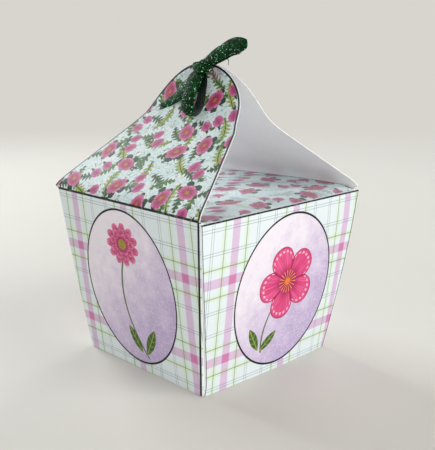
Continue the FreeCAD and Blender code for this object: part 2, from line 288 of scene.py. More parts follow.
WallPrint = namedtuple("WallPrint", "band_u band_v oval_at oval_size oval_tilt")
FRONT_PRINT = WallPrint(0.4, 13.0, (-1.2, 30.2), (22.6, 27.0), 7.3)
SIDE_PRINT = WallPrint(5.4, 11.55, (3.3, 29.4), (22.7, 26.5), -9.3)
OVAL_RADIUS = 24.5                      # mean of the half-axes, which turns the oval's ring into mm
OVAL_LINE = 0.32                        # half-widths of printed lines
FRONT_FOLD_LINE, SIDE_FOLD_LINE = 0.4, 0.62
CORNER_LINE, CUT_LINE = (0.62, 1.5), (0.2, 0.48)    # from and to, measured in from a wall's edge

Stem = namedtuple("Stem", "foot top bow width")
Leaf = namedtuple("Leaf", "centre degrees length width")
Petals = namedtuple("Petals", "radius count turn fullness")

DAISY_STEM = Stem((4.5, 5.5), (-2.6, 41), -5.6, 0.8)
DAISY_LEAVES = (Leaf((6.4, 12.0), 62, 6.0, 2.0), Leaf((-1.6, 11.4), 124, 5.4, 1.9))
DAISY_AT, DAISY_TURN, DAISY_FLATNESS = (-2.6, 45.2), 8, 1.12
DAISY_RINGS = (Petals(8.4, 11, 5, 0.26), Petals(6.3, 9, 21, 0.24), Petals(4.3, 8, 3, 0.22))

BLOSSOM_STEM = Stem((-5.5, 8.5), (0.5, 27), -2.2, 0.7)
BLOSSOM_LEAVES = (Leaf((-9.4, 14.2), 118, 5.2, 1.7), Leaf((-2.4, 12.0), 38, 4.8, 1.6))
BLOSSOM_AT, BLOSSOM_TURN = (4.4, 32.0), 12
BLOSSOM_PETALS = Petals(13.2, 5, 8, 0.34)
DOTS, DOTS_OUT, PETAL_REACH = 40, 10.6, 12.2     # pale dots, so far out on petals that reach so far
THREADS = 17


def stripes(value, centre):
    """Tint of one direction of the plaid, and where its broad bands are."""
    half = PLAID_PERIOD / 2
    away = abs(((value - centre) / PLAID_PERIOD + 0.5).fraction() - 0.5) * PLAID_PERIOD
    stops = []
    for (edge, tint), (_, after) in zip(PLAID_STRIPES, PLAID_STRIPES[1:]):
        stops += [((edge - SOFT) / half, tint), ((edge + SOFT) / half, after)]
    band_edge = PLAID_STRIPES[0][0]
    return ramp(away / half, stops), away.fall(band_edge - BLUR, band_edge + BLUR)


def plaid(u, v, spec):
    across, in_across = stripes(u, spec.band_u)
    along, in_along = stripes(v, spec.band_v)
    colour = mix(1.0, WHITE, across, "MULTIPLY")
    colour = mix(1.0, colour, along, "MULTIPLY")
    crossing = mix(1.0, colour, CROSS_TINT, "MULTIPLY")
    return mix(in_across * in_along, colour, crossing)


def petals(x, y, radius, count, turn, fullness):
    """Ring of petals: mask, distance from a petal's midline, distance out (1 at its rim), index."""
    turns = (y.angle_to(x) / math.tau + turn / 360 + 1) * count
    across = abs(turns.fraction() - 0.5) * 2
    rim = (across.power(2.4) * -fullness + 1) * radius
    out = distance(x, y)
    return (out - rim).inside(0.12), across, out / rim, turns.floor()


def stem_and_leaves(colour, x, y, stem, leaves):
    """Paint a stem that bows sideways between two points, and pointed leaves with pale veins."""
    share = (y - stem.foot[1]) / (stem.top[1] - stem.foot[1])
    middle = share * (stem.top[0] - stem.foot[0]) + stem.foot[0] + share * (1 - share) * 4 * stem.bow
    mask = (abs(x - middle) - stem.width / 2).inside(0.1) * band(y, stem.foot[1], stem.top[1])
    colour = mix(mask, colour, STEM)
    for leaf in leaves:
        along, across = turned(x, y, leaf.centre, leaf.degrees)
        share = along / leaf.length
        mask = (abs(across) - (1 - share * share) * leaf.width).inside(0.1)
        veins = ((along - abs(across) * 0.9) * 2.6).sine().rise(0.55, 0.95)
        shade = mixed(LEAF, (veins * 0.5, LEAF_LIGHT), (abs(across).fall(0.1, 0.24), LEAF_LIGHT))
        colour = mix(mask, colour, shade)
    return colour


def daisy(colour, x, y):
    """Many-petalled pink flower on a bowed stem with two leaves."""
    colour = stem_and_leaves(colour, x, y, DAISY_STEM, DAISY_LEAVES)
    x, y = turned(x, y, DAISY_AT, DAISY_TURN)
    y = y * DAISY_FLATNESS
    deep, mid, pale = linear(158, 40, 88), linear(208, 84, 134), linear(236, 156, 188)
    for ring in DAISY_RINGS:
        mask, across, out, index = petals(x, y, *ring)
        streak = noise(vector(across * 3, out * 0.6, index), 2.4, 3)
        shade = mixed(
            deep, (out.rise(0.35, 1.0), mid), (out.rise(0.72, 1.02) * streak.rise(0.3, 0.7), pale),
            (across.rise(0.8, 1.0) * 0.7, deep),
        )
        colour = mix(mask, colour, shade)
    grain = noise(vector(x, y), 2.2, 2)
    eye = mix(grain.rise(0.4, 0.62), linear(122, 112, 40), linear(196, 172, 74))
    return mix(distance(x, y).fall(1.9, 2.2), colour, eye)


def blossom(colour, x, y):
    """Large five-petalled crimson blossom with pale dots, on a stem with two leaves."""
    colour = stem_and_leaves(colour, x, y, BLOSSOM_STEM, BLOSSOM_LEAVES)
    x, y = turned(x, y, BLOSSOM_AT, BLOSSOM_TURN)
    deep, mid, pale = linear(164, 16, 80), linear(214, 56, 118), linear(248, 196, 214)
    mask, across, out, index = petals(x, y, *BLOSSOM_PETALS)
    streak = noise(vector(across * 9, out * 0.5, index), 2.0, 3)
    ring = out * PETAL_REACH
    along = ((y.angle_to(x) / math.tau * DOTS).fraction() - 0.5) * ring * (math.tau / DOTS)
    dot = distance(along, ring - DOTS_OUT).fall(0.36, 0.5)
    shade = mixed(
        mid, (streak.rise(0.35, 0.7), linear(238, 108, 156)), (out.fall(0.15, 0.62), deep),
        (across.rise(0.82, 0.98), deep), (out.rise(0.93, 1.0) * 0.85, deep), (dot, pale),
    )
    reach = distance(x, y)
    threads = (y.angle_to(x) * THREADS).cosine().rise(0.55, 0.9) * reach.fall(3.9, 4.1)
    return mixed(colour, (mask, shade), (threads * 0.85, linear(250, 176, 96)),
                 (reach.fall(1.1, 1.4), linear(232, 128, 48)))


def lilac(x, y, spec):
    """Mottled fill of the oval, deeper towards its lower right."""
    place = vector(x, y)
    clouds = noise(place, 0.16, 3, 0.6)
    damask = abs(noise(place, 0.75, 1) - 0.5).fall(0.0, 0.05)
    depth = (x - spec.oval_at[0]) * 0.014 + (y - spec.oval_at[1]) * -0.016 + clouds
    tone = ramp(depth, [
        (0.15, linear(242, 234, 243)), (0.5, linear(220, 206, 229)), (0.9, linear(192, 173, 211)),
    ])
    return mix(damask * 0.5, tone, linear(236, 228, 242))


def card_finish(paint, colour, ink, worn=0):
    """Shader of uncoated card: felted fibres and a little tooth, some of which ink takes away."""
    place = paint.place()
    long_way = noise(vector_maths("MULTIPLY", place, (1, 0.18, 0.4)), 2200, 3, 0.6)
    cross_way = noise(vector_maths("MULTIPLY", place, (0.18, 1, 0.4)), 2000, 3, 0.6)
    relief = long_way * 0.5 + cross_way * 0.5
    colour = mix(worn, colour, linear(238, 238, 236))
    colour = mix(relief.rise(0.3, 0.7) * 0.07, colour, linear(196, 200, 208), "MULTIPLY")
    roughness = relief.rise(0.3, 0.7, 0.46, 0.62) + worn * 0.2 + ink * -0.08
    return paint.finish(Base_Color=colour, Roughness=roughness, Specular_IOR_Level=0.25,
                        Normal=bump(relief, 0.00006))


def worn_fold(paint, away, width):
    """Share of bare fibre near a fold, in broken patches."""
    patches = noise(paint.place(), 900, 3, 0.65).rise(0.5, 0.72)
    return abs(away).fall(0.0, width) * patches * 0.25


def wall_material(name, spec, motif, outlines):
    """Plaid wall with an oval picture."""
    paint = Paint(name)
    u, v = paint.uv("Print")
    side, top = paint.uv("Rim")
    x, y = turned(u, v, spec.oval_at, spec.oval_tilt)
    off = (distance(x / spec.oval_size[0], y / spec.oval_size[1]) - 1) * OVAL_RADIUS
    picture = motif(lilac(u, v, spec), u, v)
    ink = outlines(u, side, top, (abs(off) - OVAL_LINE).inside())
    colour = mixed(plaid(u, v, spec), (off.inside(0.1), picture), (ink, BLACK))
    return card_finish(paint, colour, ink, worn_fold(paint, side.least(top), 0.5))


def front_outlines(u, side, top, ink):
    """Bold lines on the fold at the top and beside the right corner."""
    ink = ink.most((abs(top) - FRONT_FOLD_LINE).inside())
    return ink.most(band(side, *CORNER_LINE) * u.rise(-1, 1))


def side_outlines(u, side, top, ink):
    """Thin lines on the fold and just inside the cut edges."""
    return ink.most((abs(top) - SIDE_FOLD_LINE).inside()).most(band(side, *CUT_LINE))


# ---------------------------------------------------------------- floral print

Cell = namedtuple("Cell", "x y chance other_chance")

# Layers of leafy twigs: shift, size of a cell, seed, half the twig's length, and colour.
SPRIGS = [
    (4.4, 10.8, 3.0, 4.4, LEAF), (7.9, 13.4, 8.0, 5.6, LEAF_LIGHT), (2.6, 13.0, 5.0, 4.6, LEAF_MID),
]
SPRIG_CHANCE, SPRIG_JITTER = 0.87, 1.2
BLOOM_CELL, BLOOM_SEED, BLOOM_JITTER = 10.4, 1.0, 1.5
BLOOM_CHANCE, BUDS_CHANCE = 0.45, 0.94           # open flower below the first, buds up to the second
SEPALS = Petals(5.0, 5, 20, 0.66)
BLOOM_PETALS = Petals(4.2, 6, 0, 0.14)
BUDS = (((-2.3, 0.4), (1.9, 2.3)), ((2.2, -0.3), (2.1, 2.5)))     # middles and half-sizes
PRINT_COSINE, PRINT_SINE = 0.906, 0.423          # the print's rows lean by 25 degrees
FAR = 300                                        # keeps the print's cells clear of its origin
FLAP_LINE, LID_LINE = (0.1, 0.8), (0, 0.45)      # from and to, measured in from the cut edge
# Share by which the lid's print is paled: partly painted light that makes the upward lid lighter,
# partly its sparser greens.
LID_PALING_AND_PAINTED_LIGHT = 0.4
BLOOM_DEEP = linear(136, 28, 72)


def scatter(x, y, size, seed, jitter):
    """Place within a square cell about a centre moved at random and turned at random."""
    column, row = (x / size).floor(), (y / size).floor()
    first, second, third = chances(vector(column, row, seed))
    x = x - (column + 0.5) * size - (first - 0.5) * jitter
    y = y - (row + 0.5) * size - (second - 0.5) * jitter
    turn = (first * 7.3 + second * 3.1).fraction() * math.tau
    cosine, sine = turn.cosine(), turn.sine()
    return Cell(x * cosine + y * sine, y * cosine - x * sine, first, third)


def sprig(colour, cell, reach, shade):
    """Paint a leafy twig along the cell's x axis."""
    along, across = cell.x, cell.y + cell.x * cell.x * 0.035
    taper = (along / reach).power(2) * -0.8 + 1
    tooth = ((along - abs(across) * 0.8) * 0.62).fraction()
    leaflets = (1 - tooth).power(0.7) * tooth.rise(0, 0.14) * taper * 2.2 + 0.12
    there = band(along, -reach, reach) * cell.chance.fall(SPRIG_CHANCE - 0.01, SPRIG_CHANCE)
    mask = (abs(across) - leaflets).inside(0.12) * there
    outline = abs(abs(across) - leaflets).fall(0.06, 0.16) * there * 0.6
    twig = (abs(across).fall(0.1, 0.2) * there).most(outline)
    return mixed(colour, (mask, shade), (twig, LEAF_DARK))


def bloom(colour, cell):
    """Paint an open flower over dark pointed sepals."""
    there = cell.other_chance.fall(BLOOM_CHANCE - 0.001, BLOOM_CHANCE)
    sepals = petals(cell.x, cell.y * 1.3 + 1.1, *SEPALS)[0]
    mask, across, out, index = petals(cell.x, cell.y * 1.45, *BLOOM_PETALS)
    ruffle = noise(vector(across * 3, out * 4, index), 1.0, 2)
    shade = mixed(
        BLOOM_DEEP, (out.rise(0.25, 0.7), linear(190, 76, 130)),
        (out.rise(0.6, 1.0) * ruffle.rise(0.3, 0.6), linear(226, 146, 186)),
        (across.rise(0.78, 1.0) * 0.75, BLOOM_DEEP),
        (out.fall(0.3, 0.5) * ruffle.rise(0.4, 0.6), linear(206, 84, 56)),
        (out.fall(0.16, 0.26), linear(182, 122, 54)),
    )
    return mixed(colour, (sepals * there, LEAF_DARK), (mask * there, shade))


def buds(colour, cell):
    """Paint a pair of buds, each in a dark calyx."""
    there = band(cell.other_chance, BLOOM_CHANCE, BUDS_CHANCE, 0.0005)
    for middle, size in BUDS:
        x, y = (cell.x - middle[0]) / size[0], (cell.y - middle[1]) / size[1]
        radius = distance(x, y)
        calyx = (abs(cell.x - middle[0]) - 1.1 - y * 0.5).inside(0.1) * band(y, -1.7, -0.5)
        shade = mix(radius.rise(0.3, 1.0), linear(176, 66, 124), linear(206, 112, 164))
        shade = mix(abs(x + y * 0.25).fall(0.05, 0.2) * 0.5, shade, BLOOM_DEEP)
        colour = mixed(colour, (calyx * there, LEAF_DARK), (radius.fall(0.92, 1.04) * there, shade))
    return colour


def floral_print(u, v, paling_and_painted_light):
    """Scattered pink blossoms, buds and leafy twigs on a pale ground; the paling share pales them, on
    the lid partly as painted light.
    """
    place = vector(u, v)
    wobble = noise(place, 0.9, 2) * 0.9
    x = u * PRINT_COSINE + v * PRINT_SINE + wobble + FAR
    y = v * PRINT_COSINE - u * PRINT_SINE - wobble + FAR
    clouds = noise(place, 0.12, 2).rise(0.35, 0.65)
    ground = mix(clouds, linear(216, 234, 236), linear(232, 240, 242))
    curls = abs(noise(place, 0.5, 0) - 0.5).fall(0.012, 0.03)
    fine_curls = abs(noise(vector(v, u, 7), 0.8, 0) - 0.5).fall(0.016, 0.04)
    thicket = noise(place, 0.35, 1).rise(0.45, 0.6)
    colour = mixed(ground, (curls * 0.6, linear(104, 170, 158)),
                   (fine_curls * thicket * 0.85, linear(56, 104, 66)))
    for shift, size, seed, reach, shade in SPRIGS:
        cell = scatter(x + shift, y + shift * 0.6, size, seed, SPRIG_JITTER)
        colour = sprig(colour, cell, reach, shade)
    # Paling towards the ground, strong for twigs and curls, mild for the flowers; on the lid this is
    # partly painted light.
    colour = mix(paling_and_painted_light * 1.6, colour, ground)
    cell = scatter(x, y, BLOOM_CELL, BLOOM_SEED, BLOOM_JITTER)
    colour = buds(bloom(colour, cell), cell)
    return mix(paling_and_painted_light * 0.5, colour, ground)


def flap_material():
    """Floral print with a black line along the fold and just inside the cut edge."""
    paint = Paint("printed_flap")
    side, top = paint.uv("Rim")
    ink = band(side, *FLAP_LINE).most((abs(top) - FRONT_FOLD_LINE).inside())
    colour = mixed(floral_print(*paint.uv("Print"), 0),
                   ((side - FLAP_LINE[0]).inside(), WHITE), (ink, BLACK))
    return card_finish(paint, colour, ink, worn_fold(paint, top, 0.6))


def lid_material():
    """Floral print, paled partly as painted light; white along a black fold line, thin grey line at the
    cut edge.
    """
    paint = Paint("printed_lid")
    side, top = paint.uv("Rim")
    ink = band(side, *LID_LINE)
    colour = mixed(
        floral_print(*paint.uv("Print"), LID_PALING_AND_PAINTED_LIGHT), (side.inside(), WHITE),
        (top.fall(0.5, 0.6), WHITE), (ink * top.rise(0.6, 0.7), THIN_GREY),
        (top.fall(0.05, 0.15), BLACK),
    )
    return card_finish(paint, colour, ink, worn_fold(paint, top, 0.6))


def bare_card_material():
    paint = Paint("bare_card")
    place = paint.place()
    flecks = cells(vector_maths("MULTIPLY", place, (1, 0.5, 1)), 700).fall(0.05, 0.2)
    tone = noise(place, 60, 3).rise(0.3, 0.7)
    colour = mixed(linear(236, 237, 240), (tone, linear(242, 242, 243)),
                   (flecks * 0.25, linear(206, 206, 204)))
    return card_finish(paint, colour, noise(place, 5) * 0.1)


# ---------------------------------------------------------------------- meshes

def spaced(start, end, count):
    return [start + (end - start) * k / count for k in range(count + 1)]


def blend_to(share, low, high):
    return low + (high - low) * share


def smooth_step(share):
    share = max(0.0, min(1.0, share))
    return share * share * (3 - 2 * share)


@contextmanager
def editing(mesh):
    editor = bmesh.new()
    editor.from_mesh(mesh)
    yield editor
    editor.to_mesh(mesh)
    editor.free()


def make_mesh(name, points, faces, maps=()):
    """Mesh with UV maps, each holding a pair of numbers for every corner of every face."""
    mesh = bpy.data.meshes.new(name)
    mesh.from_pydata(points, [], faces)
    for map_name, pairs in dict(maps).items():
        layer = mesh.uv_layers.new(name=map_name)
        layer.uv.foreach_set("vector", [number for pair in pairs for number in pair])
    return mesh


def weld(mesh):
    with editing(mesh) as editor:
        bmesh.ops.remove_doubles(editor, verts=editor.verts, dist=0.000002)
        bmesh.ops.dissolve_degenerate(editor, edges=editor.edges, dist=0.0000005)


def smooth(mesh, sharp_from=180):
    """Shade smoothly, apart from edges that turn by more than this many degrees."""
    mesh.polygons.foreach_set("use_smooth", [True] * len(mesh.polygons))
    mesh.set_sharp_from_angle(angle=math.radians(sharp_from))


# ----------------------------------------------------------------- folded card

TOP_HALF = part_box("folded_card")[1].x / MM
BASE_HALF = 30
BOX_HEIGHT = 59
WALL_LENGTH = 59.41
CARD = 0.3
LEAN = math.atan2(TOP_HALF - BASE_HALF, BOX_HEIGHT)
FOOT_TURN = math.pi / 2 - LEAN
FOLD_RADIUS = 0.45
FOOT_ARC, FOOT_GAP = FOLD_RADIUS * FOOT_TURN, FOLD_RADIUS * math.tan(FOOT_TURN / 2)
FOOT_STEPS, WALL_STEPS, COLUMNS = 4, 36, 40

# Corners (x sign, y sign) and how far they stand out at half height; walls' bottom edges likewise.
CORNER_BOW = ((1, 1, 0.8), (-1, -1, 0.35), (1, -1, 0.1), (-1, 1, 0.3))
FOOT_BOW, FOOT_FADE = (0.1, 0.8, 0.1, 0.3), 9
EDGE_LIFT, EDGE_FADE = 0.16, 2                 # cut edges of walls stand off a little
CURL, CURL_FADE, CURL_FROM = 2.5, 0.05, 18     # the lid's wall curls away round its far corner

CORNER_GAP = 0.78             # flat of a tall flap's wall to its corner with the next wall
CORNER_ROUND = 0.45
TAB_WIDTH, TAB_SLANT = 9, 4
TAB_SUNK = 0.33               # the tab's outer face under the wall that it is glued to
TAB_SIDES = {-1: 0, 1: 1}     # a wall's left and right tab in the tabs' numbering

FLAP_LENGTH, HEAD_RADIUS = 58.4, 22.6
HEAD_CENTRE = FLAP_LENGTH - HEAD_RADIUS
FLAP_WIDE, FLAP_TAPER = 37.7, 0.37          # half-width at the fold, and what each mm takes off
HEAD_FROM, HEAD_BLEND = 34, 8               # where the straight sides run into the round head
HEAD_ROUND_FROM = HEAD_CENTRE + 6           # from here the nearest edge is the round one
EAR = 0.9                                   # the flap is this far up when it has its full width
SKEW_REACH = 9
HOLE_RADIUS, HOLE_AT = 2.5, 50.5
HOLE_ROWS, HOLE_COLUMNS = 4, 5              # half the block of quads that rings round a hole replace
HOLE_RINGS = 4

LID_REACH, LID_HALF, LID_CORNER = 69, 36.4, 4
LID_STAND, LID_REAR_STAND, LID_STAND_REACH, LID_SINK = 0.35, 1.15, 2.5, 0.00047
DUST_REACH, DUST_HALF, DUST_TAPER, DUST_SAG = 33, 35.4, 9, -1.5
SIDE_GAP, LID_GAP, CUT_BACK, LID_FLARE, FOOT_REACH = 0.5, 0.15, 1.25, 2.2, 3
TALL_RISE, LID_DROP, DUST_DROP = 0.32, 0.5, 1.9    # folds' height against the box's own

# Heading at the fold, then the length and turn of each stretch up to the tip (mm, degrees), and
# how far the foot of the flap is pulled to one side.
FlapBend = namedtuple("FlapBend", "start stretches skew")
FRONT_FLAP = FlapBend(101, [(3.13, 32.6), (4.75, 8.8), (24.36, 0), (26.16, -46.4)], 1.17)
BACK_FLAP = FlapBend(94.3, [(2.25, 38.4), (3.66, 10.6), (26.16, 0), (15.82, -36.2), (10.51, 0)],
                     0.5)

SLOTS = ["front", "side", "flap", "lid", "bare"]

# Where each panel lies on the baked image: middle, quarter turns and scale, in mm.
ATLAS_SIDE = 216
ATLAS = {
    "wall0": (38.4, 31.2, 0, 1), "wall1": (108.1, 31.2, 2, 1), "wall2": (176.0, 31.2, 0, 1),
    "wall3": (38.4, 93.0, 0, 1), "lid": (113.0, 98.0, 0, 1), "dust": (169.2, 98.0, 1, 1),
    "tab0": (190.2, 82.5, 0, 0.62), "tab1": (197.2, 82.5, 0, 0.62),
    "tab2": (204.2, 82.5, 0, 0.62), "tab3": (210.6, 82.5, 0, 0.45),
    "flap0": (39.4, 165.0, 0, 1), "flap1": (95.2, 165.0, 2, 1), "base": (141.5, 204.5, 0, 0.25),
}
BACK_AT, BACK_SCALE = (151.0, 136.0), 0.29     # small copy of the whole layout, for the inside
RIM_AT, RIM_SIDE = (136.5, 137.0), 6           # bare patch for the cut edges
INNER = 9                                      # stands for "far from any edge" in the Rim map
BASE_PRINT_AT = 200                            # the base has plaid from beyond the walls' ovals

Corner = namedtuple("Corner", "place print rim bake")


def baked(panel, x, y):
    """Place of a panel's point on the baked image."""
    middle_x, middle_y, quarters, scale = ATLAS[panel]
    for _ in range(quarters):
        x, y = -y, x
    return ((middle_x + x * scale) / ATLAS_SIDE, (middle_y + y * scale) / ATLAS_SIDE)


def side_axes(side):
    """Outward and rightward directions of a wall."""
    turn = math.radians(90 * side - 90)
    out = Vector((round(math.cos(turn)), round(math.sin(turn)), 0))
    return out, UP.cross(out)


def wall_half(v):
    return BASE_HALF + v * math.sin(LEAN)


def wall_point(side, u, v, depth):
    """Point of a wall's plane: u to the right seen from outside, v up the slope."""
    out, along = side_axes(side)
    normal = out * math.cos(LEAN) - UP * math.sin(LEAN)
    return out * wall_half(v) + UP * (v * math.cos(LEAN)) + along * u + normal * depth


def tangent(turn):
    """How much a rounded fold takes from each of its two flat sides."""
    return FOLD_RADIUS * math.tan(turn / 2)


def bow(point):
    """Shift of the made-up box from its flat-sided shape: card relaxes outwards at its corners."""
    level = max(0.0, min(1.0, point.z / BOX_HEIGHT))
    half = blend_to(level, BASE_HALF, TOP_HALF)
    swell = math.sin(math.pi * level)
    shift = Vector((0, 0, 0))
    for sign_x, sign_y, amount in CORNER_BOW:
        share = max(0.0, 1 + sign_x * point.x / half) * max(0.0, 1 + sign_y * point.y / half) / 4
        shift += Vector((sign_x, sign_y, 0)).normalized() * (amount * swell * share)
    near_foot = math.exp(-max(point.z, 0) / FOOT_FADE)
    for side, amount in enumerate(FOOT_BOW):
        out, along = side_axes(side)
        share = max(0.0, point.dot(out) / half) * max(0.0, 1 - (point.dot(along) / half) ** 2)
        shift += out * (amount * share * near_foot)
    return point + shift


class Card:
    """The printed face of the blank as one mesh, made of grids that share their edges."""

    def __init__(self):
        self.points, self.faces, self.slots = [], [], []
        self.maps = {"Print": [], "Rim": [], "OFBake": []}

    def quad(self, corners, slot):
        start = len(self.points)
        self.points += [bow(corner.place) * MM for corner in corners]
        self.faces.append(range(start, start + len(corners)))
        self.slots.append(SLOTS.index(slot))
        for pairs, places in zip(self.maps.values(), zip(*(corner[1:] for corner in corners))):
            pairs += places

    def grid(self, rows, slot, skip=()):
        """Quads between rows of corners; rows run outwards, corners to the right."""
        for i, (near, far) in enumerate(zip(rows, rows[1:])):
            for j, corners in enumerate(zip(near, near[1:], far[1:], far)):
                if (i, j) not in skip:
                    self.quad(corners, slot)


class Strip:
    """A wall with what is folded from its top, as one strip of card."""

    def __init__(self, side, wall_length, top_stretches, top_turn):
        self.side = side
        self.wall_length = wall_length
        self.top_arc, self.top_gap = FOLD_RADIUS * top_turn, tangent(top_turn)
        self.wall_run = wall_length - FOOT_GAP - self.top_gap
        # Length and turn in radians of straight and bent stretches, from the base outwards.
        self.stretches = [(FOOT_ARC, FOOT_TURN), (self.wall_run, 0), (self.top_arc, top_turn),
                          *top_stretches]
        self.top_start = FOOT_ARC + self.wall_run + self.top_arc / 2
        self.end = sum(length for length, turn in self.stretches) - self.top_start

    def at(self, far):
        """Distance out from the middle and height, this far along the card, and the heading."""
        out, up, heading = BASE_HALF - FOOT_GAP, 0.0, 0.0
        for length, turn in self.stretches:
            step = max(0.0, min(far, length))
            share = step / length
            if turn:
                radius = length / turn
                out += radius * (math.sin(heading + turn * share) - math.sin(heading))
                up += radius * (math.cos(heading) - math.cos(heading + turn * share))
            else:
                out += step * math.cos(heading)
                up += step * math.sin(heading)
            heading += turn * share
            far -= length
            if far <= 0:
                break
        return out, up, heading

    def place(self, u, far, lift):
        out, along = side_axes(self.side)
        reach, up, heading = self.at(far)
        normal = out * math.sin(heading) - UP * math.cos(heading)
        return out * reach + UP * up + along * u + normal * lift

    def wall_corner(self, u, far, edge):
        """edge is the distance to the wall's side edge."""
        v = far - FOOT_ARC + FOOT_GAP
        lift, curl = 0.0, 0.0
        if self.side % 2:
            swell = math.sin(math.pi * max(0, min(1, v / self.wall_length)))
            lift = EDGE_LIFT * swell * math.exp(-edge / EDGE_FADE)
        if self.side == 1:
            curl = max(0.0, CURL - CURL_FADE * v) * max(0.0, (u - CURL_FROM) / 10) ** 2
        return Corner(self.place(u, far, lift), (u + curl, v), (edge, self.wall_length - v),
                      baked(f"wall{self.side}", u, v - WALL_LENGTH / 2))

    def wall_rows(self, left_half, right_half, gap):
        """Foot fold and flat of the wall, its two half-widths given as functions of the height."""
        foot = spaced(0, FOOT_ARC, FOOT_STEPS)
        flat = spaced(FOOT_ARC, FOOT_ARC + self.wall_run, WALL_STEPS)[1:]
        rows = []
        for far in foot + flat:
            v = max(far - FOOT_ARC + FOOT_GAP, FOOT_GAP)
            share = min(1.0, far / FOOT_ARC)
            limits = [blend_to(share, BASE_HALF - FOOT_GAP, half(v))
                      for half in (left_half, right_half)]
            row = []
            for step in spaced(-1, 1, COLUMNS):
                limit = limits[step > 0]
                u = step * limit
                row.append(self.wall_corner(u, far, limit - abs(u) + gap))
            rows.append(row)
        return rows

    def top_corner(self, panel, u, s, edge, middle, lift=0.0):
        return Corner(self.place(u, s + self.top_start, lift), (u, s), (edge, s),
                      baked(panel, u, s - middle))


def add_base(card):
    reach = BASE_HALF - FOOT_GAP
    rows = []
    for y in spaced(reach, -reach, COLUMNS):
        rows.append([
            Corner(Vector((x, y, 0)), (x + BASE_PRINT_AT, -y), (INNER, INNER), baked("base", x, -y))
            for x in spaced(-reach, reach, COLUMNS)
        ])
    card.grid(rows, "front")


def corner_fold(edge, side, hand, neighbour):
    """Rounded upright fold from a wall's edge round to the next wall, at one height."""
    u, v = edge.print
    half = wall_half(v)
    corner = wall_point(side, hand * (half - TAB_SUNK / math.cos(LEAN)), v, 0)
    inner = wall_point(neighbour, -hand * (half - CORNER_ROUND), v, -TAB_SUNK)
    fold = [edge]
    for t in spaced(0, 1, 4)[1:]:
        a, b, c = (1 - t) ** 2, 2 * t * (1 - t) * math.cos(math.pi / 4), t * t
        place = (edge.place * a + corner * b + inner * c) / (a + b + c)
        run = t * CORNER_GAP
        fold.append(Corner(place, (u + hand * run, v), (CORNER_GAP - run, edge.rim[1]),
                           baked(f"wall{side}", u + hand * run, v - WALL_LENGTH / 2)))
    return fold


def tab_row(edge, start, tab, hand, neighbour):
    """Glue tab under the next wall, at one height."""
    v = edge.print[1]
    row = []
    for reach in spaced(CORNER_ROUND, TAB_WIDTH, 5):
        share = (reach - CORNER_ROUND) / (TAB_WIDTH - CORNER_ROUND)
        height = blend_to(v / WALL_LENGTH, TAB_SLANT * share, WALL_LENGTH - TAB_SLANT * share)
        place = wall_point(neighbour, -hand * (wall_half(v) - reach), height, -TAB_SUNK)
        row.append(Corner(place if share else start, edge.print, (INNER, INNER),
                          baked(tab, reach - TAB_WIDTH / 2, height - WALL_LENGTH / 2)))
    return row


def add_corner_and_tab(card, side, rows, hand):
    """Fold at a wall's left (-1) or right (+1) side, and the glue tab beyond it."""
    neighbour = (side + hand) % 4
    tab = f"tab{side + TAB_SIDES[hand]}"
    folds, tabs = [], []
    for row in rows[FOOT_STEPS:]:
        edge = row[-1] if hand > 0 else row[0]
        fold = corner_fold(edge, side, hand, neighbour)
        folds.append(fold[::hand])
        tabs.append(tab_row(edge, fold[-1].place, tab, hand, neighbour)[::hand])
    card.grid(folds, "front")
    card.grid(tabs, "bare")


def flap_half(s):
    """Half-width of a tall flap: straight sides that run into a round head."""
    head = math.sqrt(max(0.0, HEAD_RADIUS**2 - (s - HEAD_CENTRE) ** 2))
    return blend_to(smooth_step((s - HEAD_FROM) / HEAD_BLEND), FLAP_WIDE - FLAP_TAPER * s, head)


def flap_edge_distance(u, s):
    if s > HEAD_ROUND_FROM:
        return HEAD_RADIUS - math.hypot(u, s - HEAD_CENTRE)
    return (flap_half(s) - abs(u)) * math.cos(math.atan(FLAP_TAPER))


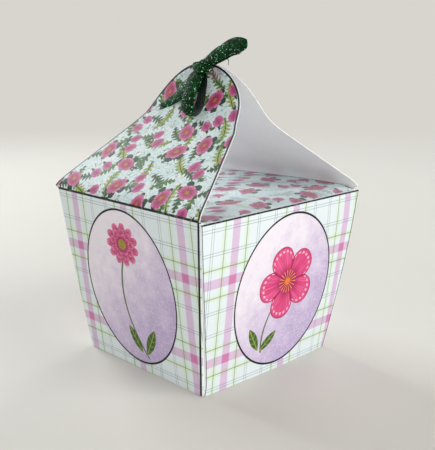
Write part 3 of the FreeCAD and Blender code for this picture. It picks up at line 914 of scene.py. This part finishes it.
class TallFlap:
    """Wall with a tall flap, with the rounded corners and glue tabs at both its sides."""

    def __init__(self, side, bend):
        fold_turn = math.radians(bend.start) - FOOT_TURN
        stretches = [(length, math.radians(turn)) for length, turn in bend.stretches]
        stretches[0] = (stretches[0][0] - tangent(fold_turn), stretches[0][1])
        self.skew = bend.skew
        self.panel = f"flap{side // 2}"
        self.strip = Strip(side, WALL_LENGTH + TALL_RISE, stretches, fold_turn)
        self.levels = self.find_levels()
        self.hole_row = min(range(len(self.levels)), key=lambda i: abs(self.levels[i] - HOLE_AT))

    def wall_half(self, v):
        return wall_half(v) - CORNER_GAP

    def find_levels(self):
        """Heights of the rows of corners, measured along the card from the middle of the fold."""
        half_arc, end = self.strip.top_arc / 2, self.strip.end
        body = [half_arc, 0.3, 0.6, EAR] + spaced(EAR, HEAD_CENTRE, 28)[1:]
        head = [HEAD_CENTRE + (end - HEAD_CENTRE) * math.sin(turn)
                for turn in spaced(0, math.pi / 2, 24)[1:]]
        return [-half_arc, 0] + body + head

    def settled(self, s):
        """0 at the fold, 1 where the flap has its own width."""
        return smooth_step((s + self.strip.top_arc / 2) / EAR)

    def corner(self, u, s):
        """u is measured from the flap's own midline."""
        skew = self.skew * self.settled(s) * max(0.0, 1 - s / SKEW_REACH) ** 2
        edge = flap_edge_distance(u, s)
        return self.strip.top_corner(self.panel, u - skew, s, edge, FLAP_LENGTH / 2)

    def spot(self, i, j):
        s = self.levels[i]
        fold_half = self.wall_half(self.strip.wall_length - self.strip.top_gap)
        width = blend_to(self.settled(s), fold_half, flap_half(s)) if s < self.levels[-1] else 0
        return (2 * j / COLUMNS - 1) * width, s

    def hole_rings(self, rows, columns):
        """Rings of corners from the border of the left-out block in to the round hole."""
        border = [(rows[0], j) for j in columns[:-1]] + [(i, columns[-1]) for i in rows[:-1]]
        border += [(rows[-1], j) for j in columns[:0:-1]] + [(i, columns[0]) for i in rows[::-1]]
        rings = [[] for _ in range(HOLE_RINGS + 1)]
        for u, s in (self.spot(i, j) for i, j in border):
            turn = math.atan2(s - HOLE_AT, u)
            hole_u, hole_s = HOLE_RADIUS * math.cos(turn), HOLE_AT + HOLE_RADIUS * math.sin(turn)
            for ring, share in zip(rings, spaced(0, 1, HOLE_RINGS)):
                ring.append(self.corner(blend_to(share, u, hole_u), blend_to(share, s, hole_s)))
        return rings

    def add_to(self, card):
        wall = self.strip.wall_rows(self.wall_half, self.wall_half, CORNER_GAP)
        card.grid(wall, "front")
        for hand in (-1, 1):
            add_corner_and_tab(card, self.strip.side, wall, hand)
        rows = range(self.hole_row - HOLE_ROWS, self.hole_row + HOLE_ROWS + 1)
        columns = range(COLUMNS // 2 - HOLE_COLUMNS, COLUMNS // 2 + HOLE_COLUMNS + 1)
        grid = [[self.corner(*self.spot(i, j)) for j in range(COLUMNS + 1)]
                for i in range(len(self.levels))]
        card.grid(grid, "flap", {(i, j) for i in rows[:-1] for j in columns[:-1]})
        card.grid(self.hole_rings(rows, columns), "flap")


# A wall with cut side edges and what is folded in from its top. left and right give the wall's
# half-widths by height, half the flap's; lift raises a point of the flap from its plane.
SideStrip = namedtuple("SideStrip", "side drop left right reach half sag lift panel")


def lid_wall_left(v):
    """The wall's left edge is cut back below, so that the corner beside it shows."""
    past_foot = 1 - math.exp(-v / FOOT_REACH)
    return wall_half(v) - LID_GAP - CUT_BACK * max(0.0, 1 - v / WALL_LENGTH) ** 1.6 * past_foot


def lid_wall_right(v):
    return wall_half(v) - SIDE_GAP + LID_FLARE * v / WALL_LENGTH


def lid_lift(u, s):
    """The lid stands up behind its fold, most at its rear, and sinks towards its free end."""
    rear = max(0.0, (u + LID_HALF) / (2 * LID_HALF))
    past_fold = 1 - math.exp(-max(0.0, s) / LID_STAND_REACH)
    return (LID_STAND + LID_REAR_STAND * rear**2) * past_fold - LID_SINK * s * s


def dust_wall_half(v):
    return wall_half(v) - SIDE_GAP


def dust_half(s):
    return DUST_HALF - DUST_TAPER * max(0.0, s) / DUST_REACH


LID_STRIP = SideStrip(1, LID_DROP, lid_wall_left, lid_wall_right, LID_REACH,
                      lambda s: LID_HALF, 0, lid_lift, "lid")
DUST_STRIP = SideStrip(3, DUST_DROP, dust_wall_half, dust_wall_half, DUST_REACH,
                       dust_half, DUST_SAG, lambda u, s: 0.0, "dust")


def rounded(past):
    """How much a rounded corner takes off the half-width, this far past its start."""
    return LID_CORNER - math.sqrt(max(0.0, LID_CORNER**2 - max(0.0, past) ** 2))


def add_side_strip(card, spec):
    turn = math.pi / 2 + LEAN
    straight = (spec.reach - tangent(turn), math.radians(spec.sag))
    strip = Strip(spec.side, WALL_LENGTH - spec.drop, [straight], turn)
    card.grid(strip.wall_rows(spec.left, spec.right, 0), "side")
    top_v = strip.wall_length - strip.top_gap
    starts = (spec.left(top_v), spec.right(top_v))
    half_arc, round_start = strip.top_arc / 2, strip.end - LID_CORNER
    levels = spaced(-half_arc, half_arc, 6) + [half_arc + step for step in (0.5, 1.1, 1.8, 2.6, 3.6)]
    levels += spaced(levels[-1], round_start, 24)[1:]
    levels += [round_start + LID_CORNER * math.sin(angle) for angle in spaced(0, math.pi / 2, 8)[1:]]
    rows = []
    for s in levels:
        settled = max(0.0, min(1.0, s / 1.5))
        row = []
        for step in spaced(-1, 1, COLUMNS):
            limit = blend_to(settled, starts[step > 0], spec.half(s) - rounded(s - round_start))
            u = step * limit
            edge = min(limit - abs(u), strip.end - s)
            lift = spec.lift(u, s - half_arc) if s > half_arc else 0.0
            row.append(strip.top_corner(spec.panel, u, s, edge, spec.reach / 2, lift))
        rows.append(row)
    card.grid(rows, "lid")


def thicken(piece):
    solid = piece.modifiers.new("thickness", "SOLIDIFY")
    solid.thickness = CARD * MM
    solid.offset = -1
    solid.use_even_offset = True
    solid.use_quality_normals = True
    solid.material_offset = len(SLOTS)
    solid.material_offset_rim = len(SLOTS)
    graph = bpy.context.evaluated_depsgraph_get()
    shaped = bpy.data.meshes.new_from_object(piece.evaluated_get(graph))
    piece.modifiers.clear()
    piece.data = shaped
    shaped.name = piece.name


def lay_out_back(mesh, printed):
    """Give the inner faces a small copy of the layout, and the cut edges a bare patch."""
    layer = mesh.uv_layers["OFBake"]
    for polygon in mesh.polygons[printed:]:
        inner = polygon.index < 2 * printed
        for loop, patch in zip(polygon.loop_indices, ((0, 0), (1, 0), (1, 1), (0, 1))):
            x, y = layer.uv[loop].vector if inner else patch
            start, size = (BACK_AT, BACK_SCALE) if inner else (RIM_AT, RIM_SIDE / ATLAS_SIDE)
            layer.uv[loop].vector = (start[0] / ATLAS_SIDE + x * size, start[1] / ATLAS_SIDE + y * size)


def make_card():
    card = Card()
    add_base(card)
    TallFlap(0, FRONT_FLAP).add_to(card)
    TallFlap(2, BACK_FLAP).add_to(card)
    add_side_strip(card, LID_STRIP)
    add_side_strip(card, DUST_STRIP)
    mesh = make_mesh("flat_card", card.points, card.faces, card.maps)
    mesh.polygons.foreach_set("material_index", card.slots)
    weld(mesh)
    for material in (wall_material("printed_front", FRONT_PRINT, daisy, front_outlines),
                     wall_material("printed_side", SIDE_PRINT, blossom, side_outlines),
                     flap_material(), lid_material(), bare_card_material()):
        mesh.materials.append(material)
    piece = add_object("folded_card_printed", mesh)
    printed = len(mesh.polygons)
    thicken(piece)
    lay_out_back(piece.data, printed)
    smooth(piece.data, 42)
    return piece


folded_card = make_card()
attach(folded_card, "root")
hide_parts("folded_card")


# ---------------------------------------------------------------------- ribbon

RIBBON_WIDTH = 6
RIBBON_THICK = 0.36
SECTION_STEPS = 12
RUN_STEPS = 8
# The underside is painted near black, partly as shade for the inside of the loop.
UNDERSIDE = 40        # added to the weave map's first number on the dull side
CUP = -0.08           # how far the ribbon's edges bend over, as a share of its width
WAVE, WAVE_RATE = 0.14, 0.9
THREAD_SIDES, THREAD_TAPER = 5, 0.6
FRAYED_THREADS = 13
TAIL_FRAY, HIDDEN_TAIL_FRAY = 2.6, 2.2                 # longest of the threads
LOOSE_THREAD_FROM, LOOSE_THREAD_RADIUS = Vector((11.6, -2.2, BOX_HEIGHT + 45.8)), 0.2

# One bow of ribbon. Each station is x, y, height above the fold line and width, and then the
# direction in which its width points. The free ends are frayed.
TIE = [
    (0.2, -2.9, 36.2, 3.6, 1, 0, 0), (0.0, 0.0, 36.4, 3.4, 1, 0, 0.1),
    (-0.2, 2.8, 36.6, 3.6, 1, 0, 0), (-0.2, 2.5, 40.4, 4.2, 1, 0, 0),
    (0.2, 1.2, 43.9, 4.6, 1, 0.1, 0), (0.6, -1.3, 44.0, 4.6, 1, 0.1, 0),
    (0.8, -2.6, 41.0, 4.0, 1, 0, 0), (0.4, -3.1, 38.4, 3.8, 1, 0, 0),
]
UPPER_LOOP = [
    (0.6, -3.0, 41.3, 3.0, -0.5, 0, 0.86), (4.2, -3.4, 43.6, 3.9, -0.46, 0.05, 0.88),
    (8.2, -3.5, 45.8, 4.4, -0.42, 0.1, 0.9), (12.6, -3.4, 47.8, 4.9, -0.36, 0.1, 0.92),
    (16.4, -3.2, 49.1, 5.2, -0.3, 0.1, 0.95), (19.4, -2.9, 49.6, 4.3, -0.2, 0.1, 0.97),
    (21.6, -2.4, 49.7, 2.6, -0.1, 0.0, 1), (19.6, -2.0, 49.6, 4.1, -0.2, -0.1, 0.97),
    (15.6, -1.7, 48.8, 5.1, -0.3, -0.1, 0.95), (10.6, -1.7, 46.9, 4.6, -0.4, -0.1, 0.9),
    (5.6, -1.8, 44.4, 3.9, -0.46, 0, 0.88), (1.4, -2.1, 41.8, 3.0, -0.5, 0, 0.86),
]
HANGING_LOOP = [
    (1.6, -3.4, 41.0, 3.6, 1, 0.1, -0.1), (1.7, -6.4, 37.8, 5.0, 1, 0.1, -0.15),
    (1.6, -9.0, 33.8, 5.8, 1, 0.05, -0.1), (1.4, -10.2, 30.0, 6.0, 1, 0, -0.05),
    (1.4, -9.9, 27.4, 5.9, 1, 0, 0), (1.9, -8.6, 26.2, 5.6, 1, 0, 0.05),
    (3.0, -7.2, 27.2, 4.9, 1, 0, 0.1), (3.6, -5.8, 30.0, 4.2, 1, 0, 0.1),
    (3.3, -4.7, 33.4, 4.4, 1, 0, 0.1), (2.7, -3.9, 37.4, 5.0, 1, 0, 0.1),
    (2.2, -3.2, 41.0, 3.6, 1, 0, 0),
]
TAIL = [
    (1.6, -3.4, 41.4, 3.6, 0.6, -0.2, -0.75), (-1.2, -4.8, 37.9, 5.6, 0.6, -0.25, -0.75),
    (-5.4, -5.0, 34.5, 5.6, 0.58, -0.3, -0.75), (-9.6, -5.1, 31.7, 4.6, 0.55, -0.36, -0.75),
    (-13.2, -5.7, 29.5, 3.6, 0.5, -0.4, -0.75), (-15.6, -6.4, 28.1, 2.6, 0.5, -0.4, -0.75),
]
HIDDEN_TAIL = [
    (0.8, -1.4, 42.4, 2.8, -0.5, 0, 0.86), (6.0, 0.2, 45.2, 4.0, -0.45, 0.1, 0.88),
    (10.6, 0.8, 47.4, 4.2, -0.4, 0.1, 0.9), (14.6, 0.9, 48.2, 3.8, -0.2, 0.1, 0.96),
]
KNOT_WRAP = [
    (-1.9, -3.7, 41.5, 3.2, -0.25, 0, 0.97), (0.6, -5.3, 41.7, 3.8, -0.25, 0, 0.97),
    (3.8, -5.4, 42.0, 3.9, -0.25, 0, 0.97), (6.4, -3.8, 42.3, 3.2, -0.25, 0, 0.97),
    (3.8, -1.9, 42.6, 3.2, -0.25, 0, 0.97), (0.2, -1.9, 42.0, 3.2, -0.25, 0, 0.97),
]


def smoothed(values, closed):
    """Catmull-Rom curve through the values."""
    before = values[-1] if closed else values[0] * 2 - values[1]
    after = values[:2] if closed else [values[-1] * 2 - values[-2]]
    padded = [before, *values, *after]
    found = []
    for a, b, c, d in zip(padded, padded[1:], padded[2:], padded[3:]):
        for t in spaced(0, 1, RUN_STEPS)[:-1]:
            found.append((b * 2 + (c - a) * t + (a * 2 - b * 5 + c * 4 - d) * t * t
                          + (b * 3 - a - c * 3 + d) * t ** 3) * 0.5)
    return found if closed else found + values[-1:]


class Ribbon:
    """Mesh of flat straps, each a closed skin, with a map of millimetres across and along."""

    def __init__(self):
        self.points, self.faces, self.weave = [], [], []

    def point(self, place, across):
        """Add a point; gives back its number and its place across the ribbon."""
        self.points.append(place * MM)
        return len(self.points) - 1, across

    def face(self, corners):
        """Each corner is a point, as given back by point(), and a place along the ribbon."""
        self.faces.append([index for (index, across), along in corners])
        self.weave += [(across, along) for (index, across), along in corners]

    def skin(self, rings, closed=False):
        """Faces between rings, each its points and its place along the ribbon."""
        for (near, near_at), (far, far_at) in zip(rings, rings[1:]):
            for corners in zip(near, near[1:] + near[:1], far[1:] + far[:1], far):
                self.face(list(zip(corners, (near_at, near_at, far_at, far_at))))
        if not closed:
            for (ring, at), order in ((rings[0], -1), (rings[-1], 1)):
                self.face([(corner, at) for corner in ring[::order]])

    def strap(self, stations, closed=False):
        """Sweep a thin, slightly cupped section along the stations; gives back its end."""
        stations = smoothed([Vector(station) for station in stations], closed)
        places = [Vector(station[:3]) + UP * BOX_HEIGHT for station in stations]
        last = len(places) - 1
        rings, along = [], 0.0
        for k, (place, station) in enumerate(zip(places, stations)):
            ahead = places[(k + 1) % len(places)] if closed or k < last else place
            behind = places[k - 1] if closed or k else place
            heading = (ahead - behind).normalized()
            side = Vector(station[4:])
            side = (side - heading * side.dot(heading)).normalized()
            along += (place - places[k - 1]).length if k else 0
            rings.append((self.section(place, heading, side, station[3], along), along))
        if closed:
            rings.append((rings[0][0], along + 1))
        self.skin(rings, closed)
        return place, heading, side, station[3]

    def section(self, centre, heading, side, width, along):
        """Ring of points: over the top from left to right and back underneath."""
        normal = heading.cross(side)
        wave = WAVE * math.sin(along * WAVE_RATE) * width / RIBBON_WIDTH
        ring = []
        for face, under in ((1, 0), (-1, UNDERSIDE)):
            for share in spaced(-face, face, SECTION_STEPS):
                thick = RIBBON_THICK / 2 * max(0.3, math.sqrt(max(0.0, 1 - abs(share) ** 8)))
                rise = CUP * width * share * share + wave * share + face * thick
                across = share * width / 2
                ring.append(self.point(centre + side * across + normal * rise, across + under))
        return ring

    def thread(self, places, radius):
        """Thin loose thread, tapering to its end."""
        last = len(places) - 1
        rings = []
        for k, place in enumerate(places):
            heading = (places[min(k + 1, last)] - places[max(k - 1, 0)]).normalized()
            side = heading.orthogonal().normalized() * (radius * (1 - THREAD_TAPER * k / last))
            ring = [self.point(place + Quaternion(heading, math.tau * j / THREAD_SIDES) @ side, 0.1 * j)
                    for j in range(THREAD_SIDES)]
            rings.append((ring, k))
        self.skin(rings)

    def fray(self, end, heading, side, width, longest, dice):
        """Threads that leave a cut end of the ribbon."""
        normal = heading.cross(side)
        for k in range(FRAYED_THREADS):
            share = (k + 0.5) / FRAYED_THREADS * 2 - 1
            start = end + side * (share * width * 0.47) - heading * 0.5
            far = longest * dice.uniform(0.35, 1)
            sway = side * dice.uniform(-0.5, 0.5) + normal * dice.uniform(-0.35, 0.35)
            places = [start + heading * far * t + sway * (far * t * t) - UP * (0.25 * far * t * t)
                      for t in spaced(0, 1, 5)]
            self.thread(places, dice.uniform(0.09, 0.16))


def ribbon_material():
    """Dark green ribbon, woven with metallic yarn and strewn with glitter on one side; its near-black
    underside is partly painted shade.
    """
    paint = Paint("glitter_ribbon")
    across, along = paint.uv("Weave")
    grain, shade = (cells(paint.place(), 3600, output) for output in ("Distance", "Color"))
    chance, shine = split("Color", shade)[:2]
    glittered = across.fall(UNDERSIDE / 2, UNDERSIDE / 2 + 1) * 0.88 + 0.12
    speck = chance.rise(0.80, 0.86) * glittered
    spark = chance.rise(0.955, 0.97) * glittered
    ribs = (along * 16).sine() * 0.5 + 0.5
    yarn = noise(vector(across * 7, along * 1.2), 1.0, 2)
    woven = mixed(linear(3, 24, 9), (yarn.rise(0.3, 0.7), linear(8, 54, 22)),
                  (ribs * 0.35, linear(2, 14, 5)))
    # Underside: near-black base (4, 12, 8), partly painted shade for the inside of the loop, with few
    # glitter specks.
    colour = mixed(linear(4, 12, 8), (glittered, woven), (speck * shine, linear(34, 142, 66)),
                   (spark, linear(158, 226, 178)))
    tilt = vector_maths("MULTIPLY_ADD", shade, (0.9, 0.9, 0.9), (-0.45, -0.45, -0.45))
    relief = bump(ribs * 0.5 + yarn * 0.3 + grain * 0.4, 0.00012)
    normal = vector_maths("NORMALIZE", vector_maths("ADD", relief, tilt))
    return paint.finish(Base_Color=colour, Metallic=speck * 0.85, Roughness=speck * -0.35 + 0.72,
                        Specular_IOR_Level=0.12, Normal=normal)


def make_ribbon():
    dice = random.Random(7)
    skin = Ribbon()
    skin.strap(TIE, closed=True)
    skin.strap(KNOT_WRAP, closed=True)
    skin.strap(UPPER_LOOP)
    skin.strap(HANGING_LOOP)
    for tail, longest in ((TAIL, TAIL_FRAY), (HIDDEN_TAIL, HIDDEN_TAIL_FRAY)):
        skin.fray(*skin.strap(tail), longest, dice)
    skin.thread([LOOSE_THREAD_FROM + Vector((2.3 * t + 0.6 * math.sin(4 * t), -0.4 * t, -3.0 * t))
                 for t in spaced(0, 1, 8)], LOOSE_THREAD_RADIUS)
    mesh = make_mesh("ribbon_bow", skin.points, skin.faces, {"Weave": skin.weave})
    with editing(mesh) as editor:
        bmesh.ops.recalc_face_normals(editor, faces=editor.faces)
    smooth(mesh, 60)
    mesh.materials.append(ribbon_material())
    return add_object("ribbon_bow", mesh)


ribbon = make_ribbon()
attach(ribbon, "root")
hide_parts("ribbon")


# ------------------------------------------------------------- floor and light

FLOOR = linear(222, 219, 212)
FLOOR_CLOUD = linear(200, 196, 188)
BACKDROP = linear(216, 213, 207)
FADE_FROM, FADE_TO = 0.12, 0.7                             # metres from the middle
STAGE_RADIUS, STAGE_SWEEP, STAGE_HEIGHT = 1.3, 0.5, 1.5    # metres
STAGE_FLAT, STAGE_SIDES = 0.3, 96
LAMP_AIM = Vector((0, 0, 0.05))
WORLD_COLOUR, WORLD_STRENGTH = (0.93, 0.96, 1.0, 1), 0.06

# Place and diameter in metres, watts and colour.
Lamp = namedtuple("Lamp", "place size watts colour")
LAMPS = {
    "key": Lamp((0.58, -0.36, 0.13), 0.24, 2.05, (1, 1, 1)),
    "left": Lamp((-0.90, 0.02, 0.42), 0.6, 9.2, (0.94, 0.98, 1.0)),
    "high": Lamp((0.50, 0.14, 0.48), 0.4, 1.8, (1, 1, 1)),
    "back": Lamp((-0.35, 0.85, 0.5), 0.6, 3.0, (0.92, 0.97, 1.0)),
}


def stage_material():
    """Pale matt floor; what the camera and glossy things see of it is evened out with distance."""
    paint = Paint("pale_floor")
    place = paint.place()
    cloud = noise(place, 6, 3).rise(0.3, 0.7)
    material = paint.finish(Base_Color=mix(cloud * 0.05, FLOOR, FLOOR_CLOUD), Roughness=0.8)
    away = flow("VectorMath", {0: place}, "Value", operation="LENGTH")
    rays = add_node(paint.tree, "LightPath").outputs
    camera, glossy, through = (Flow(rays[f"Is {kind} Ray"])
                               for kind in ("Camera", "Glossy", "Transmission"))
    joined = flow("MixShader", {
        0: camera.most(glossy).most(through) * away.rise(FADE_FROM, FADE_TO, 0.1, 1.0),
        1: Flow(paint.shader.outputs[0]),
        2: Flow(add_node(paint.tree, "Emission", {"Color": BACKDROP}).outputs[0]),
    })
    feed(paint.tree.nodes["Material Output"].inputs["Surface"], joined)
    return material


def add_stage():
    """Round floor that sweeps up into a backdrop on every side."""
    flat = STAGE_RADIUS - STAGE_SWEEP
    profile = [(0.0, 0.0), (STAGE_FLAT, 0.0)]
    profile += [(flat + STAGE_SWEEP * math.sin(turn), STAGE_SWEEP - STAGE_SWEEP * math.cos(turn))
                for turn in spaced(0, math.pi / 2, 12)]
    profile.append((STAGE_RADIUS, STAGE_HEIGHT))
    turns = spaced(0, math.tau, STAGE_SIDES)[:-1]
    points = [(out * math.cos(turn), out * math.sin(turn), up) for out, up in profile for turn in turns]
    faces = []
    for start in range(0, len(points) - STAGE_SIDES, STAGE_SIDES):
        for k in range(STAGE_SIDES):
            a, b = start + k, start + (k + 1) % STAGE_SIDES
            faces.append((a, a + STAGE_SIDES, b + STAGE_SIDES, b))
    mesh = make_mesh("floor", points, faces)
    weld(mesh)
    smooth(mesh)
    mesh.materials.append(stage_material())
    add_object("floor", mesh)


def add_lamps():
    for name, spec in LAMPS.items():
        light = bpy.data.lights.new(name, "AREA")
        light.shape = "DISK"
        light.size = spec.size
        light.energy = spec.watts
        light.color = spec.colour
        lamp = add_object(name, light)
        lamp.location = spec.place
        lamp.rotation_euler = (LAMP_AIM - lamp.location).to_track_quat("-Z", "Y").to_euler()


def add_world():
    world = bpy.data.worlds.new("studio")
    world.use_nodes = True
    background = world.node_tree.nodes["Background"]
    background.inputs["Color"].default_value = WORLD_COLOUR
    background.inputs["Strength"].default_value = WORLD_STRENGTH
    bpy.context.scene.world = world


add_stage()
add_lamps()
add_world()
bpy.context.scene.view_settings.view_transform = "Standard"
